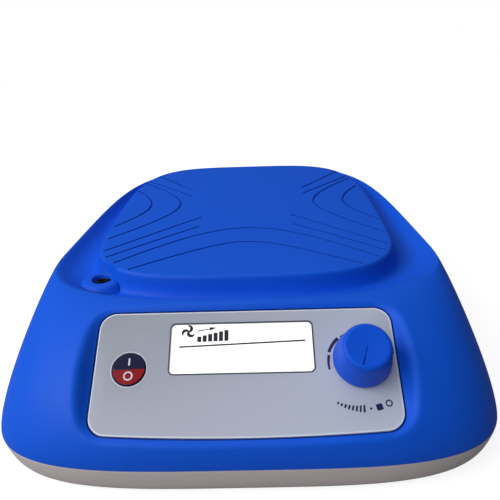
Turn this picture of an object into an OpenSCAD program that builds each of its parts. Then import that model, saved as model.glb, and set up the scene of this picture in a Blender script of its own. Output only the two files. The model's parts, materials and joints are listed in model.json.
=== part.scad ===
// Compact magnetic stirrer for one vessel: moulded body, sloping control panel, spinning drive magnets.
// Origin: middle of the footprint on the bench. +X right, +Y towards the back, +Z up. Units are mm.
// The modules are drawn about the stirring axis, and the last lines move them to that origin.

/* [Body] */
// Largest half width of the body, at the seam above the base
body_half_w = 99.4; // [90:0.2:110]
// Front of the body measured from the stirring axis
body_front = 149.4; // [140:0.1:158]
// Back of the body measured from the stirring axis
body_back = 87.5; // [80:0.5:98]
// Height of the vessel platform above the bench
platform_z = 58; // [54:0.5:62]
// Height of the seam between base cover and upper housing
seam_z = 13; // [10:0.5:16]
// Gap left at the seam
seam_gap = 0.3; // [0.1:0.05:0.6]
// Height of the rim around the spill trough
rim_z = 53.5; // [50:0.5:56]
// Depth of the spill trough below its rim
trough_depth = 4.9; // [3:0.1:6]
// Housing wall thickness
wall_t = 2.7; // [2:0.1:3.5]
// Height of the rubber feet
foot_h = 1.5; // [1:0.5:5]
// Width of the decorative grooves in the platform
groove_w = 0.9; // [0.5:0.1:1.5]
// Depth of the decorative grooves
groove_d = 0.7; // [0.2:0.1:1]

/* [Control panel] */
// Panel width
panel_w = 114.4; // [105:0.2:120]
// Panel height along the slope
panel_h = 47; // [42:0.5:50]
// Slope of the panel from the bench
panel_slope = 34.2; // [30:0.2:40]
// Panel thickness
panel_t = 1.2; // [0.8:0.1:2]
// Corner radius of the panel
panel_r = 6.5; // [4:0.5:9]
// Display window width
window_w = 55.8; // [50:0.2:58]
// Display window height
window_h = 21; // [17:0.2:23]
// Speed knob diameter at its foot
knob_d = 22; // [18:0.5:26]
// Speed knob diameter at its top
knob_top_d = 17.6; // [14:0.2:20]
// Speed knob height
knob_h = 14; // [10:0.5:18]
// Power button diameter
button_d = 12.8; // [10:0.2:15]

/* [Rod socket] */
// Support rod hole diameter
rod_d = 8.2; // [8:0.1:10.5]
// Outer diameter of the raised collar round the rod hole
rod_collar_d = 17; // [16:0.5:22]

/* [Drive] */
// Motor diameter
motor_d = 36; // [28:1:40]
// Motor shaft diameter
shaft_d = 4; // [3:0.5:6]
// Diameter of the magnet carrier
carrier_d = 54; // [44:1:60]
// Spacing of the two drive magnets
magnet_pitch = 34; // [28:1:38]
// Drive magnet diameter
magnet_d = 16; // [12:1:18]

/* [Hidden] */
// Which sub-part to draw
eps = 0.01;
$fn = 48;

// Plan outlines: [centre y, half width, front reach, back reach, front power, back power, taper]
BODY = [-85, body_half_w, body_front - 85, body_back + 85, 4, 4, 0.086];
RIM = [-50, 87.7, 48.7, 131, 2.8, 3.9, 0.137];
PLAT = [-35, 70.2, 52.5, 108.5, 3.3, 3.6, 0];
side_power = 1.21;
front_power = 1.85;

seam_hi = seam_z + seam_gap / 2;
seam_lo = seam_z - seam_gap / 2;
floor_top = foot_h + 2.5;
trough_in_z = rim_z - trough_depth - 2.4;
ceiling_z = platform_z - wall_t;

// Panel frame: x across, y up the slope, z out of the panel face
panel_y = -142.9;
panel_z = 24.48;
panel_back = -panel_t - 2.6;
board_n = -11;
window_c = [-1.3, 31.75];
button_c = [-43.9, 23.95];
knob_c = [44, 25.65];
knob_gap = 1.0;
button_travel = 0.4;
knob_travel = 0.5;
pointer_lean = 18.8;
pointer_len = 7.2;
board_posts = [[-50, 10.15], [50, 10.15], [-50, 39.65], [50, 39.65]];

rod_c = [-63.9, -76.3];
rod_top_z = 52.4;
rod_clear_r = 5.2;
socket_foot_z = 20;
mid_y = (body_front - body_back) / 2;
screw_xy = [[-85, -104], [85, -104], [-61, 48], [61, 48]];
foot_xy = [[-70, -118], [70, -118], [-46, 60], [46, 60]];
hang_xy = [[-33, -33], [33, -33], [-33, 33], [33, 33]];
pcb_xy = [[-40, -96], [40, -96], [-40, -50], [40, -50]];
bracket_z = 34;
bracket_t = 2;
grommet_lip = 1.5;
jack_x = -24;
jack_z = 25;
jack_face_y = 83.5;
jack_wall = 2.5;

// ---------- helpers ----------
function pw(v, n) = v <= 0 ? 0 : pow(v, n);
function ins(o, d) = [o[0], o[1] - d, o[2] - d, o[3] - d, o[4], o[5], o[6]];
function belly(o, d, s) = [o[0], o[1] - d, o[2] - d + 0.6 * s, o[3] - d, o[4] - 0.2 * s, o[5], o[6]];
function reach(o, a) = sin(a) < 0 ? o[2] : o[3];
function power(o, a) = sin(a) < 0 ? o[4] : o[5];
function polar(o, a, n) = pow(pw(abs(cos(a)) / o[1], n) + pw(abs(sin(a)) / reach(o, a), n), -1 / n);
function plan(o, a) =
    let (r = polar(o, a, power(o, a)), y = r * sin(a))
    [r * cos(a) * (1 - o[6] * y / o[3]), y + o[0]];
function turn(i, n) = -180 + 360 * (i + 0.5) / n;
function ring(o, z, n) = [for (i = [0 : n - 1]) let (p = plan(o, turn(i, n))) [p[0], p[1], z]];
function forward(a) = pow(max(-sin(a), 0), 2);
function bulge(a) = side_power + (front_power - side_power) * (1 - pow(1 - forward(a), 2));
function wall_pt(lo, hi, z0, z1, a, t) =
    let (m = bulge(a), p = plan(lo, a), q = plan(hi, a),
        h = 1 - pw(cos(90 * t), 2 / m), v = pw(sin(90 * t), 2 / m))
    [p[0] + (q[0] - p[0]) * h, p[1] + (q[1] - p[1]) * h, z0 + (z1 - z0) * v];
function wall_ring(lo, hi, z0, z1, t, n) =
    [for (i = [0 : n - 1]) wall_pt(lo, hi, z0, z1, turn(i, n), t)];
function mix_ring(o, q, s, z, n) =
    [for (i = [0 : n - 1])
        let (a = turn(i, n), p = plan(o, a), w = plan(q, a))
        [p[0] + (w[0] - p[0]) * s, p[1] + (w[1] - p[1]) * s, z]];

// Closed skin through a stack of rings that all have the same number of points
module loft(rings) {
    n = len(rings[0]);
    m = len(rings);
    points = [for (r = rings) each r];
    sides = [for (j = [0 : m - 2], i = [0 : n - 1])
        let (a = j * n + i, b = j * n + (i + 1) % n)
        each [[a, a + n, b + n], [a, b + n, b]]];
    low = [for (i = [0 : n - 1]) i];
    high = [for (i = [n - 1 : -1 : 0]) (m - 1) * n + i];
    polyhedron(points, concat([low, high], sides));
}

module on_panel() {
    translate([0, panel_y, panel_z])
        rotate([panel_slope, 0, 0])
            children();
}

module box(lo, hi) {
    translate(lo)
        cube(hi - lo);
}

module rod(z0, z1, r) {
    translate([0, 0, z0])
        cylinder(h = z1 - z0, r = r);
}

module tube(z0, z1, ro, ri) {
    difference() {
        rod(z0, z1, ro);
        rod(z0 - 1, z1 + 1, ri);
    }
}

module at_each(list) {
    for (p = list)
        translate([p[0], p[1], 0])
            children();
}

module hex(z0, z1, r) {
    translate([0, 0, z0])
        cylinder(h = z1 - z0, r = r, $fn = 6);
}

module screw(z_head, head_h, head_r, z_tip, shank_r, up = 1) {
    drive_r = head_r * 0.45;
    difference() {
        union() {
            rod(min(z_head, z_head + up * head_h), max(z_head, z_head + up * head_h), head_r);
            rod(min(z_head, z_tip), max(z_head, z_tip), shank_r);
        }
        z_top = z_head + up * head_h;
        hex(min(z_top, z_top - up * 1.1) - eps, max(z_top, z_top - up * 1.1) + eps, drive_r);
    }
}

// Round wire swept along a path with rounded bends
function unit(v) = v / norm(v);
function rounded(path, d) =
    let (n = len(path))
    [for (i = [0 : n - 1])
        let (p = path[i])
        each (i == 0 || i == n - 1 ? [p] :
            let (a = p + d * unit(path[i - 1] - p), b = p + d * unit(path[i + 1] - p))
            [a, (a + 2 * p + b) / 4, b])];

module wire(corners, r) {
    path = rounded(corners, 2.4);
    n = len(path);
    dirs = [for (i = [0 : n - 1]) unit(path[min(i + 1, n - 1)] - path[max(i - 1, 0)])];
    loft([for (i = [0 : n - 1])
        let (u = unit(cross([1, 0, 0], dirs[i])), v = cross(dirs[i], u))
        [for (k = [0 : 11]) path[i] + r * (cos(30 * k) * u + sin(30 * k) * v)]]);
}

// Panel outline grown by d: rounded corners and a lower edge that bows down in the middle
bow = 2;
function panel_ring(d, z) =
    let (hw = panel_w / 2 + d, r = panel_r + d * 0.8, y0 = -d, y1 = panel_h + d, n = 6,
        corners = [[hw - r, y0 + r, -90], [hw - r, y1 - r, 0], [-hw + r, y1 - r, 90],
            [-hw + r, y0 + r, 180]],
        arcs = [for (c = corners, i = [0 : n])
            [c[0] + r * cos(c[2] + 90 * i / n), c[1] + r * sin(c[2] + 90 * i / n)]],
        low = [for (i = [1 : 7]) [-(hw - r) + (hw - r) * i / 4, y0]])
    [for (p = concat(arcs, low)) [p[0], p[1] - bow_at(p[0], p[1], hw), z]];
function bow_at(x, y, hw) = y > panel_h / 2 ? 0 : bow * (1 - pow(x / hw, 2)) * (1 - max(y, 0) / panel_h * 2);
function flat(r) = [for (p = r) [p[0], p[1]]];

// ---------- decorative grooves ----------
function hyp(x, s, b) = sqrt(pow(s * x, 2) + b * b) - b;
front_lines = [[-52.6, 0.75, 14.4, 0, 51], [-35.6, 1.2, 50, 0, 59],
    [-19.5, 0.9, 12.3, 24, 64], [-3, 0.96, 8, 24, 67]];
back_lines = [[-5.9, 1.25, 12, 33, 66], [-9.5, 1.05, 12, 33, 68]];
side_lines = [[37.6, 1.1, 25.6, 49], [54.2, 1.1, 29, 34]];

module strip(path) {
    n = len(path);
    dirs = [for (i = [0 : n - 1])
        let (d = path[min(i + 1, n - 1)] - path[max(i - 1, 0)]) d / norm(d)];
    left = [for (i = [0 : n - 1]) path[i] + groove_w / 2 * [-dirs[i][1], dirs[i][0]]];
    right = [for (i = [n - 1 : -1 : 0]) path[i] - groove_w / 2 * [-dirs[i][1], dirs[i][0]]];
    translate([0, 0, platform_z - groove_d])
        linear_extrude(2)
            polygon(concat(left, right));
}

module grooves() {
    steps = 10;
    for (g = front_lines)
        if (g[3] == 0)
            strip([for (i = [-steps : steps])
                let (x = g[4] * i / steps) [x, g[0] - hyp(x, g[1], g[2])]]);
    for (g = front_lines, m = [-1, 1])
        if (g[3] > 0)
            strip([for (i = [0 : steps])
                let (x = g[3] + (g[4] - g[3]) * i / steps) [m * x, g[0] - hyp(x, g[1], g[2])]]);
    for (g = back_lines, m = [-1, 1])
        strip([for (i = [0 : steps])
            let (x = g[3] + (g[4] - g[3]) * i / steps) [m * x, g[0] + hyp(x, g[1], g[2])]]);
    for (g = side_lines, m = [-1, 1])
        strip([for (i = [-steps : steps])
            let (y = g[3] * i / steps) [m * (g[0] + hyp(y, g[1], g[2])), y]]);
}

// ---------- housing ----------
module outer_skin() {
    n = 96;
    prof = [[0.04, 53.4], [0.16, 52.1], [0.34, 49.9], [0.55, 48.7], [0.75, 48.8], [0.9, 50.3],
        [0.96, 53], [1, 57.2]];
    loft(concat(
        [for (t = [0, 0.14, 0.28, 0.42, 0.56, 0.7, 0.84, 1])
            wall_ring(BODY, RIM, seam_hi, rim_z, t, n)],
        [for (q = prof) mix_ring(RIM, PLAT, q[0], q[1] - 53.5 + rim_z, n)],
        [ring(ins(PLAT, 1), platform_z, n)]));
}

module cavity() {
    n = 48;
    difference() {
        loft(concat(
            [ring(ins(BODY, wall_t), seam_hi - 2, n)],
            [for (t = [0, 0.2, 0.4, 0.6, 0.8, 1])
                wall_ring(ins(BODY, wall_t), ins(RIM, wall_t + 0.3), seam_hi, trough_in_z, t, n)],
            [ring(ins(PLAT, 3), trough_in_z + 0.05, n), ring(ins(PLAT, 3.2), ceiling_z, n)]));
        on_panel()
            box([-66, -22, panel_back], [66, 60, 40]);
        // solid pads that stay inside the cavity
        at_each(screw_xy)
            rod(seam_hi - 3, 60, 4.5);
        at_each(hang_xy)
            rod(bracket_z + bracket_t + grommet_lip, 60, 4.5);
        translate(rod_c)
            rod(22, 60, 10);
        on_panel()
            at_each(board_posts)
                rod(board_n, 0, 3.2);
        box([jack_x - 13, jack_face_y - jack_wall, 10], [jack_x + 13, 95, 38]);
    }
}

module upper_housing() {
    color([0.12, 0.32, 0.80])
    difference() {
        union() {
            outer_skin();
            translate(rod_c)
                rod(46, rod_top_z, rod_collar_d / 2);
            at_each(screw_xy)
                rod(floor_top + 3, seam_hi + 1, 4.5);
        }
        cavity();
        on_panel()
            loft([panel_ring(0.15, -panel_t), panel_ring(0.15, 0.2), panel_ring(10.15, 10.2)]);
        on_panel()
            box([window_c[0] - 26, window_c[1] - 8.8, panel_back - 1],
                [window_c[0] + 26, window_c[1] + 8.8, 1]);
        on_panel()
            translate(button_c)
                rod(panel_back - 1, 1, button_d / 2 + 0.2);
        on_panel()
            translate(knob_c)
                rod(panel_back - 1, 1, 3.7);
        on_panel()
            at_each(board_posts)
                rod(board_n - 1, panel_back + 1, 1.05);
        at_each(screw_xy)
            rod(floor_top + 2, floor_top + 16, 1.55);
        at_each(hang_xy)
            rod(bracket_z, 50, 1.55);
        translate(rod_c)
            rod(50.4, 60, rod_d / 2 + 0.2);
        // way past the platform's edge for the rod, down to the collar's top face
        translate(rod_c)
            rod(rod_top_z, 60, rod_clear_r);
        translate(rod_c)
            rod(socket_foot_z, 50.4, 7.05);
        box([jack_x - 10, jack_face_y, 16], [jack_x + 10, 96, 34.5]);
        translate([jack_x, 60, jack_z])
            rotate([-90, 0, 0])
                cylinder(h = 30, r = 4.05);
        intersection() {
            grooves();
            loft([ring(ins(PLAT, 1.6), platform_z - 3, 48), ring(ins(PLAT, 1.6), platform_z + 3, 48)]);
        }
    }
}

module base_cover() {
    n = 96;
    levels = [[3.6, foot_h, 1], [2.4, foot_h + 0.7, 1], [1.3, foot_h + 3.4, 0.7],
        [0.3, foot_h + 8, 0.2], [0, seam_lo, 0]];
    color([0.80, 0.79, 0.78])
    difference() {
        union() {
            difference() {
                loft([for (q = levels) ring(belly(BODY, q[0], q[2]), q[1], n)]);
                loft([ring(ins(BODY, 5.2), floor_top, n), ring(ins(BODY, 4.6), seam_lo + 1, n)]);
            }
            // locating lip inside the housing wall
            difference() {
                loft([ring(ins(BODY, 4.3), seam_lo - 2, n), ring(ins(BODY, 4.6), seam_lo + 2.4, n)]);
                loft([ring(ins(BODY, 5.9), floor_top, n), ring(ins(BODY, 5.9), seam_lo + 4, n)]);
            }
            at_each(screw_xy)
                rod(floor_top - 1, floor_top + 3, 5.2);
            at_each(pcb_xy)
                rod(floor_top - 1, 12, 3);
            // prop that carries the rod socket's foot
            translate(rod_c)
                rod(floor_top - 1, socket_foot_z - 0.1, 5.5);
        }
        at_each(foot_xy)
            rod(0, foot_h + 1, 8.2);
        at_each(screw_xy)
            rod(0, floor_top + 4, 1.8);
        at_each(screw_xy)
            rod(0, floor_top + 0.4, 3.3);
        at_each(pcb_xy)
            rod(6, 13, 1.3);
        for (x = [-44, 44], i = [-3 : 3])
            box([x - 11, i * 7 - 1.3, 0], [x + 11, i * 7 + 1.3, floor_top + 1]);
        box([-32, 30, 0], [32, 62, foot_h + 0.3]);
        // room for the inlet's wall pad
        box([jack_x - 14, 75, seam_lo], [jack_x + 14, 95, seam_lo + 4]);
    }
}

module rubber_feet() {
    color([0.08, 0.08, 0.08])
    at_each(foot_xy)
        rotate_extrude()
            polygon([[0, 0], [7.2, 0], [8, 0.8], [8, foot_h + 1], [0, foot_h + 1]]);
}

module housing_screws() {
    color([0.62, 0.63, 0.65])
    at_each(screw_xy)
        screw(floor_top + 0.4, 2.2, 3, floor_top + 14, 1.5, -1);
}

module rating_plate() {
    color([0.75, 0.76, 0.78])
    box([-31.5, 30.5, foot_h + 0.05], [31.5, 61.5, foot_h + 0.3]);
}

module rod_socket() {
    color([0.74, 0.75, 0.77])
    translate(rod_c)
    difference() {
        union() {
            rod(22.2, 50.4, 7);
            rod(socket_foot_z, 22, 9.5);
            rod(21.9, 22.3, 6.6);
        }
        rod(26, 51, rod_d / 2);
    }
}

// ---------- control panel ----------
module control_panel() {
    color([0.66, 0.69, 0.76])
    on_panel()
    difference() {
        translate([0, 0, -panel_t])
            linear_extrude(panel_t)
                polygon(flat(panel_ring(0, 0)));
        window_cut(0, -panel_t - 1, 1);
        translate(button_c)
            rod(-panel_t - 1, 1, button_d / 2 + 0.2);
        translate(knob_c)
            rod(-panel_t - 1, 1, 3.7);
    }
}

module window_cut(d, z0, z1) {
    r = 2.2;
    x = window_w / 2 - d;
    y = window_h / 2 - d;
    translate([window_c[0], window_c[1], z0])
        linear_extrude(z1 - z0)
            union() {
                square([2 * x - 2 * r, 2 * y], center = true);
                square([2 * x, 2 * y - 2 * r], center = true);
                for (sx = [-1, 1], sy = [-1, 1])
                    translate([sx * (x - r), sy * (y - r)])
                        circle(r = r);
            }
}

module display_lens() {
    color([0.93, 0.95, 0.97])
    on_panel()
        window_cut(0.1, -panel_t, -0.1);
}

module lcd_module() {
    x = window_c[0];
    y = window_c[1];
    color([0.85, 0.87, 0.86])
    on_panel()
    difference() {
        box([x - 30, y - 11.2, board_n], [x + 30, y + 9.6, panel_back]);
        box([x - 25, y - 8, panel_back - 0.6], [x + 25, y + 8, 0]);
    }
}

module display_board() {
    color([0.06, 0.33, 0.18])
    on_panel()
    difference() {
        box([-54, 6.15, board_n - 1.6], [54, 43.65, board_n]);
        at_each(board_posts)
            rod(board_n - 3, board_n + 1, 1.3);
    }
}

module display_board_screws() {
    color([0.62, 0.63, 0.65])
    on_panel()
        at_each(board_posts)
            screw(board_n - 1.6, 1.6, 2.1, -5.5, 1, -1);
}

module power_button() {
    color([0.09, 0.10, 0.36])
    on_panel()
    translate(button_c) {
        rotate_extrude()
            polygon([[0, -5.2], [5, -5.2], [7.6, -5.2], [7.6, -4.4], [button_d / 2, -4.4],
                [button_d / 2, 0.1], [button_d / 2 - 0.5, 0.6], [0, 0.6]]);
        rod(-6, -5, 1.5);
    }
}

module power_switch() {
    color([0.10, 0.10, 0.11])
    on_panel()
    translate(button_c)
    difference() {
        box([-3, -3, board_n], [3, 3, -7.5]);
        rod(-9, -7, 1.8);
    }
}

module power_switch_plunger() {
    color([0.85, 0.85, 0.82])
    on_panel()
        translate(button_c)
            rod(-8.2, -6, 1.72);
}

module encoder_body() {
    color([0.55, 0.57, 0.60])
    on_panel()
    translate(knob_c)
    difference() {
        union() {
            box([-6, -6.5, board_n], [6, 6.5, panel_back]);
            rod(panel_back - 1, 4, 3.5);
        }
        rod(-8.2, 5, 3.06);
        rod(-10.2, -8, 2.66);
    }
}

module encoder_washer() {
    color([0.70, 0.71, 0.73])
    on_panel()
        translate(knob_c)
            tube(0, 0.5, 5.6, 3.6);
}

module encoder_nut() {
    color([0.78, 0.76, 0.66])
    on_panel()
    translate(knob_c)
    difference() {
        hex(0.5, 2.5, 5.6);
        rod(0, 3, 3.55);
    }
}

module encoder_plunger() {
    color([0.85, 0.85, 0.82])
    on_panel()
        translate(knob_c)
            rod(-9.6, -8.1, 2.6);
}

module encoder_shaft() {
    color([0.78, 0.79, 0.80])
    on_panel()
    translate(knob_c)
    difference() {
        rod(-7.6, 12, 3);
        box([-4, 1.5, 5], [4, 4, 13]);
    }
}

module speed_knob() {
    r0 = knob_d / 2;
    r1 = knob_top_d / 2;
    top = knob_gap + knob_h;
    color([0.13, 0.34, 0.82])
    on_panel()
    translate(knob_c)
    difference() {
        rotate_extrude($fn = 96)
            polygon([[0, 4.6], [r0 - 1.6, 4.6], [r0 - 1.6, knob_gap], [r0 - 0.3, knob_gap],
                [r0, knob_gap + 0.4], [r0 - 0.1, knob_gap + 2], [r1 + 0.5, top - 2.2],
                [r1, top - 1], [r1 - 0.9, top - 0.3], [r1 - 2.2, top], [0, top]]);
        difference() {
            rod(4, 12.1, 3.02);
            box([-4, 1.52, 5], [4, 4, 13]);
        }
        // pointer line
        rotate(-pointer_lean)
            box([-0.35, -pointer_len, top - 0.5], [0.35, 0.2, top + 1]);
    }
}

// ---------- motor and drive ----------
module motor_can() {
    color([0.70, 0.71, 0.73])
    difference() {
        union() {
            rod(13, bracket_z, motor_d / 2);
            rod(33, bracket_z + 2.4, 5.5);
        }
        rod(12, bracket_z - 1.2, motor_d / 2 - 1);
        rod(30, bracket_z + 1.2, 4.05);
        rod(30, bracket_z + 3, 2.6);
        at_each([[-12, 0], [12, 0]])
            rod(30, bracket_z + 1, 1.3);
    }
}

module motor_end_bell() {
    color([0.12, 0.12, 0.13])
    difference() {
        union() {
            rod(10, 13, motor_d / 2);
            rod(12.9, 15, motor_d / 2 - 1.1);
            rod(8, 15, 5.5);
        }
        rod(9, 16, 4.05);
        rod(13, 16, motor_d / 2 - 2.5);
    }
    for (m = [-1, 1])
        color([0.78, 0.66, 0.35])
            box([m * 11 - 1.4, -0.3, 8.6], [m * 11 + 1.4, 0.3, 10.2]);
}

module motor_bearings() {
    color([0.66, 0.67, 0.69])
    union() {
        tube(bracket_z - 2.8, bracket_z + 1.2, 4, 2.03);
        tube(9, 13, 4, 2.03);
    }
}

module motor_magnets() {
    color([0.25, 0.25, 0.27])
    difference() {
        tube(15.5, 30, motor_d / 2 - 1.1, 13.4);
        box([-30, -3, 10], [30, 3, 40]);
    }
}

module motor_shaft() {
    color([0.78, 0.79, 0.80])
    rod(9.4, 50.5, shaft_d / 2);
}

module motor_armature() {
    color([0.60, 0.33, 0.16])
    difference() {
        union() {
            rod(17, 28, 12.6);
            rod(28, 30.5, 6);
        }
        rod(16, 31, shaft_d / 2 + 0.02);
        for (i = [0 : 4])
            rotate([0, 0, 72 * i])
                box([9, -1, 16], [14, 1, 29]);
    }
}

module magnet_carrier() {
    color([0.16, 0.16, 0.18])
    difference() {
        union() {
            rod(44.5, 51, carrier_d / 2);
            rod(37.4, 44.6, 7.5);
        }
        rod(37, 52, shaft_d / 2 + 0.02);
        at_each([[-magnet_pitch / 2, 0], [magnet_pitch / 2, 0]])
            rod(45.5, 52, magnet_d / 2 + 0.05);
        translate([0, 0, 40])
            rotate([-90, 0, 0])
                cylinder(h = 10, r = 1.55);
    }
}

module keeper_plate() {
    color([0.60, 0.61, 0.63])
    tube(42.5, 44.5, carrier_d / 2 - 1, 7.55);
}

module drive_magnets() {
    color([0.80, 0.81, 0.83])
    at_each([[-magnet_pitch / 2, 0], [magnet_pitch / 2, 0]])
        rod(45.5, 53.8, magnet_d / 2);
}

module carrier_set_screw() {
    color([0.20, 0.20, 0.21])
    translate([0, 0, 40])
    rotate([-90, 0, 0])
    difference() {
        rod(2.1, 6.9, 1.5);
        hex(5.4, 8, 0.8);
    }
}

module motor_bracket() {
    z0 = bracket_z;
    z1 = bracket_z + bracket_t;
    color([0.72, 0.73, 0.75])
    difference() {
        union() {
            box([-39.5, -39.5, z0], [39.5, 39.5, z1]);
            box([-41, -24, z0 - 6], [-39, 24, z1]);
            box([39, -24, z0 - 6], [41, 24, z1]);
        }
        rod(z0 - 1, z1 + 1, 5.6);
        at_each([[-12, 0], [12, 0]])
            rod(z0 - 1, z1 + 1, 1.4);
        at_each(hang_xy)
            rod(z0 - 1, z1 + 1, 4);
        for (m = [-1, 1]) {
            box([m * 28 - 4, -14, z0 - 1], [m * 28 + 4, 14, z1 + 1]);
            box([-14, m * 28 - 4, z0 - 1], [14, m * 28 + 4, z1 + 1]);
        }
    }
}

module motor_screws() {
    color([0.62, 0.63, 0.65])
    at_each([[-12, 0], [12, 0]])
        screw(bracket_z + bracket_t, 1.4, 2.2, 31, 1.2);
}

module bracket_grommets() {
    z0 = bracket_z;
    z1 = bracket_z + bracket_t;
    color([0.10, 0.10, 0.10])
    at_each(hang_xy)
    difference() {
        union() {
            rod(z0 - grommet_lip, z0, 5.6);
            rod(z0 - eps, z1 + eps, 3.96);
            rod(z1, z1 + grommet_lip, 5.6);
        }
        rod(z0 - 5, z1 + 5, 1.6);
    }
}

module bracket_screws() {
    color([0.62, 0.63, 0.65])
    at_each(hang_xy)
        screw(bracket_z - grommet_lip, 2, 3.4, 48, 1.5, -1);
}

// ---------- electronics ----------
module main_board() {
    color([0.06, 0.33, 0.18])
    difference() {
        box([-44, -100, 12], [44, -46, 13.6]);
        at_each(pcb_xy)
            rod(11, 15, 1.4);
    }
}

module board_screws() {
    color([0.62, 0.63, 0.65])
    at_each(pcb_xy)
        screw(13.6, 1.6, 2.4, 7, 1.25);
}

module board_capacitors() {
    color([0.13, 0.16, 0.24])
    for (p = [[-26, -82, 4, 11], [-15, -82, 4, 11], [24, -88, 3.15, 8]])
        translate([p[0], p[1], 0])
            rod(13.6, 13.6 + p[3], p[2]);
}

module board_chips() {
    color([0.08, 0.08, 0.09])
    union() {
        box([-5, -68, 13.6], [5, -58, 15.2]);
        box([14, -72, 13.6], [19, -66, 15.2]);
        box([-24, -66, 13.6], [-18, -61, 15.1]);
    }
}

module board_connectors() {
    color([0.88, 0.87, 0.82])
    union() {
        box([7, -54, 13.6], [19, -48, 19.4]);
        box([-34, -54, 13.6], [-22, -48, 19.4]);
        box([-9.5, -92, 13.6], [9.5, -86, 18]);
    }
}

module voltage_regulator() {
    color([0.09, 0.09, 0.10])
    difference() {
        union() {
            box([28, -66, 13.6], [31.4, -56, 27]);
            box([31.4, -66, 17], [32.7, -56, 33]);
        }
        translate([25, -61, 30])
            rotate([0, 90, 0])
                cylinder(h = 10, r = 1.6);
    }
}

module motor_lead() {
    color([0.72, 0.10, 0.09])
    for (m = [-1, 1])
        wire([[m * 11, -1.4, 7.6], [m * 11, -36, 7.6], [13 + m * 2.2, -42.4, 16.5],
            [13 + m * 2.2, -48, 16.5]], 0.8);
}

module jack_lead() {
    color([0.12, 0.12, 0.13])
    for (m = [-1, 1])
        wire([[jack_x + m * 2, 61.6, 25], [jack_x + m * 2, 52, 25], [jack_x + m * 2, 44, 10],
            [-28 + m * 2, -36, 10], [-28 + m * 2, -42.4, 16.5], [-28 + m * 2, -48, 16.5]], 0.9);
}

module panel_ribbon() {
    t = 0.8;
    ribbon_up = 25.15;
    y0 = panel_y + ribbon_up * cos(panel_slope) - (board_n - 1.6) * sin(panel_slope);
    z0 = panel_z + ribbon_up * sin(panel_slope) + (board_n - 1.6) * cos(panel_slope);
    path = [[y0, z0], [y0 + 5, z0 - 7], [y0 + 9, z0 - 8.6], [-96, z0 - 6], [-92, 21.6], [-90, 18]];
    n = len(path);
    dirs = [for (i = [0 : n - 1])
        let (d = path[min(i + 1, n - 1)] - path[max(i - 1, 0)]) d / norm(d)];
    left = [for (i = [0 : n - 1]) path[i] + t / 2 * [-dirs[i][1], dirs[i][0]]];
    right = [for (i = [n - 1 : -1 : 0]) path[i] - t / 2 * [-dirs[i][1], dirs[i][0]]];
    color([0.62, 0.62, 0.64])
    intersection() {
        translate([-8, 0, 0])
            rotate([90, 0, 90])
                linear_extrude(16)
                    polygon(concat(left, right));
        on_panel()
            box([-20, -30, -80], [20, 60, board_n - 1.6]);
        box([-20, -130, 18], [20, -80, 60]);
    }
}

module dc_jack() {
    color([0.10, 0.10, 0.11])
    translate([jack_x, 0, jack_z])
    rotate([-90, 0, 0])
    union() {
        difference() {
            union() {
                rod(68, jack_face_y + eps, 3.95);
                rod(jack_face_y, jack_face_y + 1.5, 5.8);
                rod(62.4, 68.1, 3.4);
            }
            rod(75.5, jack_face_y + 3, 2.85);
        }
        rod(75, jack_face_y + 0.5, 1);
    }
}

module dc_jack_nut() {
    color([0.70, 0.71, 0.73])
    translate([jack_x, 0, jack_z])
    rotate([-90, 0, 0])
    difference() {
        hex(jack_face_y - jack_wall - 2.4, jack_face_y - jack_wall, 6);
        rod(60, 90, 4);
    }
}

translate([0, mid_y, 0]) {
    upper_housing();
    base_cover();
    rubber_feet();
    housing_screws();
    rating_plate();
    control_panel();
    display_lens();
    lcd_module();
    display_board();
    display_board_screws();
    power_button();
    power_switch();
    power_switch_plunger();
    encoder_body();
    encoder_washer();
    encoder_nut();
    encoder_plunger();
    encoder_shaft();
    speed_knob();
    rod_socket();
    motor_can();
    motor_end_bell();
    motor_bearings();
    motor_magnets();
    motor_shaft();
    motor_armature();
    magnet_carrier();
    keeper_plate();
    drive_magnets();
    carrier_set_screw();
    motor_bracket();
    motor_screws();
    bracket_grommets();
    bracket_screws();
    main_board();
    board_screws();
    board_capacitors();
    board_chips();
    board_connectors();
    voltage_regulator();
    motor_lead();
    jack_lead();
    panel_ribbon();
    dc_jack();
    dc_jack_nut();
}
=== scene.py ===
"""Looks for the compact magnetic stirrer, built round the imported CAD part.

Lengths are in millimetres, measured from the stirring axis, until make() turns them into a mesh.
"""

import json
import math

import bpy
import numpy as np
from mathutils import Matrix, Vector


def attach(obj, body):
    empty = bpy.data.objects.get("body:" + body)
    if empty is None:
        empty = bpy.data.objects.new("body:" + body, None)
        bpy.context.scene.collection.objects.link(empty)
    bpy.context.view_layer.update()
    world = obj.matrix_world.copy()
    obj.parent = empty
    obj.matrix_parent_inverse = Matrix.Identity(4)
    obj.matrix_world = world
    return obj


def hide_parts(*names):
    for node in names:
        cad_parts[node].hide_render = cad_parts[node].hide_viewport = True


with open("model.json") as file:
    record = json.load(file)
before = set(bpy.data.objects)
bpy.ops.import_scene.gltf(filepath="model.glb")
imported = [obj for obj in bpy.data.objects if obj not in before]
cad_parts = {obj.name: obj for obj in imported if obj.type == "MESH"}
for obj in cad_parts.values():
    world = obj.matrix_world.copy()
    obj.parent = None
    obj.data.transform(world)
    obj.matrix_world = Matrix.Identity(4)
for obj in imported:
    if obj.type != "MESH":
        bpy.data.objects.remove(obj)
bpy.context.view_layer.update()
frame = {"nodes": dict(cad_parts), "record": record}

MM = 0.001
SLOT_OF = {s["node"]: s["material_slot"] for s in frame["record"]["subparts"]}
# Where the stirring axis stands in the row's frame
SPIN = next(j for j in frame["record"]["behaviour"]["joints"] if j["name"] == "magnet_spin")
HOME = np.array([SPIN["pos_m"][0] / MM, SPIN["pos_m"][1] / MM, 0.0])

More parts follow.
